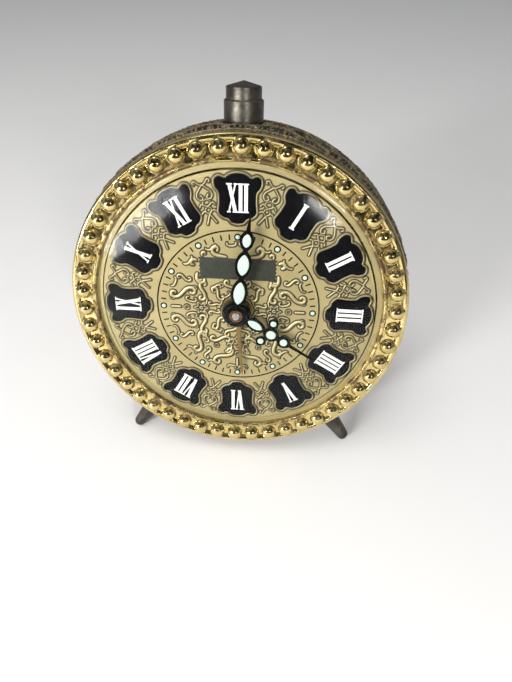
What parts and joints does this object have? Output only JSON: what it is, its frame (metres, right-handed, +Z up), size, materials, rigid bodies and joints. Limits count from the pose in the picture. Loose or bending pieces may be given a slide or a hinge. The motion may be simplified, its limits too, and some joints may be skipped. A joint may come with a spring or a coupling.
{
  "type": "travel alarm clock",
  "caption": "Round drum wind-up travel alarm clock with a beaded bezel, domed crystal, numeral dial with three hands, top stop button and two splayed feet.",
  "frame": {"origin": "on the table, under the middle of the clock's width and depth", "axes": "+Z up, +Y towards the rear cover, +X towards three o'clock; the dial leans back about 12.7 degrees from upright and faces -Y"},
  "size_m": [0.0778, 0.0396, 0.0841],
  "materials": {
    "gilt_brass": "polished, worn",
    "clear_acrylic": "clear",
    "champagne_dial": "satin, embossed",
    "dark_band": "embossed, dark with worn bronze highlights",
    "dark_bronze": "dark bronze plating, satin",
    "blackened_steel": "gloss black",
    "lume": "matt, pale mint",
    "copper_brass": "satin",
    "steel": "polished",
    "plate_brass": "satin",
    "spring_steel": "blued",
    "nickel": "bright plated"
  },
  "bodies": {
    "case": {"bezel": "gilt_brass", "crystal": "clear_acrylic", "glass_ring": "steel", "dial_plate": "champagne_dial", "case_drum": "dark_bronze", "filigree_band": "dark_band", "rear_cover": "gilt_brass", "rear_cover_screws": "nickel", "left_foot": "dark_bronze", "right_foot": "dark_bronze", "foot_nuts": "steel", "button_collar": "dark_bronze", "collar_nut": "steel", "stop_button_spring": "spring_steel", "front_plate": "plate_brass", "back_plate": "plate_brass", "plate_pillars": "steel", "pillar_nuts": "steel", "rear_posts": "steel", "minute_wheel_stud": "steel", "time_mainspring": "spring_steel", "alarm_mainspring": "spring_steel", "hairspring": "spring_steel"},
    "minute_hand_group": {"centre_arbor": "steel", "cannon_pinion": "steel", "minute_hand": "blackened_steel", "minute_hand_lume": "lume", "hand_washer": "copper_brass", "time_set_knob": "gilt_brass"},
    "hour_hand_group": {"hour_wheel": "plate_brass", "hour_hand": "blackened_steel", "hour_hand_lume": "lume"},
    "minute_wheel_group": {"minute_wheel": "plate_brass"},
    "alarm_hand_group": {"alarm_wheel": "plate_brass", "alarm_hand": "copper_brass"},
    "alarm_setting_group": {"alarm_setting_arbor": "steel", "alarm_set_knob": "gilt_brass"},
    "time_winding_group": {"time_winding_arbor": "steel", "time_key": "nickel", "time_ratchet_wheel": "steel"},
    "alarm_winding_group": {"alarm_winding_arbor": "steel", "alarm_key": "nickel", "alarm_ratchet_wheel": "steel"},
    "time_great_group": {"time_great_wheel": "plate_brass"},
    "centre_wheel_group": {"centre_wheel": "plate_brass"},
    "third_wheel_group": {"third_wheel": "plate_brass"},
    "fourth_wheel_group": {"fourth_wheel": "plate_brass"},
    "escape_wheel_group": {"escape_wheel": "plate_brass"},
    "pallet_group": {"pallet_fork": "steel"},
    "balance_group": {"balance_wheel": "plate_brass"},
    "regulator_group": {"regulator_lever": "steel"},
    "alarm_great_group": {"alarm_great_wheel": "plate_brass"},
    "alarm_escape_group": {"alarm_escape_wheel": "plate_brass"},
    "hammer_group": {"alarm_hammer": "steel"},
    "button_group": {"stop_button": "dark_bronze", "button_clip": "steel"}
  },
  "joints": [
    {"name": "minute_hand_turn", "type": "hinge", "parent": "case", "child": "minute_hand_group", "pos_m": [0, -0.00973, 0.04147], "axis": [0, 0.9757, -0.2191], "continuous": true},
    {"name": "hour_hand_turn", "type": "hinge", "parent": "case", "child": "hour_hand_group", "pos_m": [0, -0.00973, 0.04147], "axis": [0, 0.9757, -0.2191], "continuous": true},
    {"name": "minute_wheel_turn", "type": "hinge", "parent": "case", "child": "minute_wheel_group", "pos_m": [0.00594, -0.00843, 0.04727], "axis": [0, 0.9757, -0.2191], "continuous": true},
    {"name": "alarm_set_turn", "type": "hinge", "parent": "case", "child": "alarm_setting_group", "pos_m": [0, -0.01206, 0.03109], "axis": [0, 0.9757, -0.2191], "continuous": true},
    {"name": "alarm_hand_turn", "type": "hinge", "parent": "case", "child": "alarm_hand_group", "pos_m": [0, -0.00973, 0.04147], "axis": [0, 0.9757, -0.2191], "continuous": true},
    {"name": "time_key_turn", "type": "hinge", "parent": "case", "child": "time_winding_group", "pos_m": [-0.01381, -0.01083, 0.03657], "axis": [0, 0.9757, -0.2191], "continuous": true, "deforming": ["time_mainspring"]},
    {"name": "alarm_key_turn", "type": "hinge", "parent": "case", "child": "alarm_winding_group", "pos_m": [0.01381, -0.01083, 0.03657], "axis": [0, 0.9757, -0.2191], "continuous": true, "deforming": ["alarm_mainspring"]},
    {"name": "fourth_wheel_turn", "type": "hinge", "parent": "case", "child": "fourth_wheel_group", "pos_m": [-0.00131, -0.00585, 0.05876], "axis": [0, 0.9757, -0.2191], "continuous": true},
    {"name": "third_wheel_turn", "type": "hinge", "parent": "case", "child": "third_wheel_group", "pos_m": [0.00345, -0.00765, 0.05072], "axis": [0, 0.9757, -0.2191], "continuous": true},
    {"name": "centre_wheel_turn", "type": "hinge", "parent": "case", "child": "centre_wheel_group", "pos_m": [0, -0.00973, 0.04147], "axis": [0, 0.9757, -0.2191], "continuous": true},
    {"name": "time_great_wheel_turn", "type": "hinge", "parent": "case", "child": "time_great_group", "pos_m": [-0.01381, -0.01083, 0.03657], "axis": [0, 0.9757, -0.2191], "continuous": true},
    {"name": "escape_wheel_turn", "type": "hinge", "parent": "case", "child": "escape_wheel_group", "pos_m": [-0.00994, -0.00673, 0.05483], "axis": [0, 0.9757, -0.2191], "continuous": true},
    {"name": "pallet_rock", "type": "hinge", "parent": "case", "child": "pallet_group", "pos_m": [-0.01502, -0.00751, 0.05136], "axis": [0, 0.9757, -0.2191], "range_deg": [-4, 4]},
    {"name": "balance_swing", "type": "hinge", "parent": "case", "child": "balance_group", "pos_m": [-0.02152, -0.00776, 0.05025], "axis": [0, 0.9757, -0.2191], "range_deg": [-135, 135], "deforming": ["hairspring"]},
    {"name": "regulator_swing", "type": "hinge", "parent": "case", "child": "regulator_group", "pos_m": [-0.02152, -0.00776, 0.05025], "axis": [0, 0.9757, -0.2191], "range_deg": [-20, 20]},
    {"name": "alarm_great_wheel_turn", "type": "hinge", "parent": "case", "child": "alarm_great_group", "pos_m": [0.01381, -0.01083, 0.03657], "axis": [0, 0.9757, -0.2191], "continuous": true},
    {"name": "alarm_escape_wheel_turn", "type": "hinge", "parent": "case", "child": "alarm_escape_group", "pos_m": [0.01976, -0.00857, 0.04662], "axis": [0, 0.9757, -0.2191], "continuous": true},
    {"name": "hammer_swing", "type": "hinge", "parent": "case", "child": "hammer_group", "pos_m": [0.01891, -0.00752, 0.05133], "axis": [0, 0.9757, -0.2191], "range_deg": [-4, 4]},
    {"name": "stop_button_press", "type": "slide", "parent": "case", "child": "button_group", "axis": [0, -0.2191, -0.9757], "range_m": [0, 0.002], "deforming": ["stop_button_spring"]}
  ],
  "couplings": [
    {"joint": "hour_hand_turn", "follows": "minute_hand_turn", "ratio": 0.083333},
    {"joint": "minute_wheel_turn", "follows": "minute_hand_turn", "ratio": -0.33333},
    {"joint": "alarm_hand_turn", "follows": "alarm_set_turn", "ratio": -0.33333},
    {"joint": "third_wheel_turn", "follows": "fourth_wheel_turn", "ratio": -0.13333},
    {"joint": "centre_wheel_turn", "follows": "fourth_wheel_turn", "ratio": 0.016667},
    {"joint": "time_great_wheel_turn", "follows": "fourth_wheel_turn", "ratio": -0.0027778},
    {"joint": "escape_wheel_turn", "follows": "fourth_wheel_turn", "ratio": -7.5},
    {"joint": "alarm_escape_wheel_turn", "follows": "alarm_great_wheel_turn", "ratio": -7.5}
  ]
}
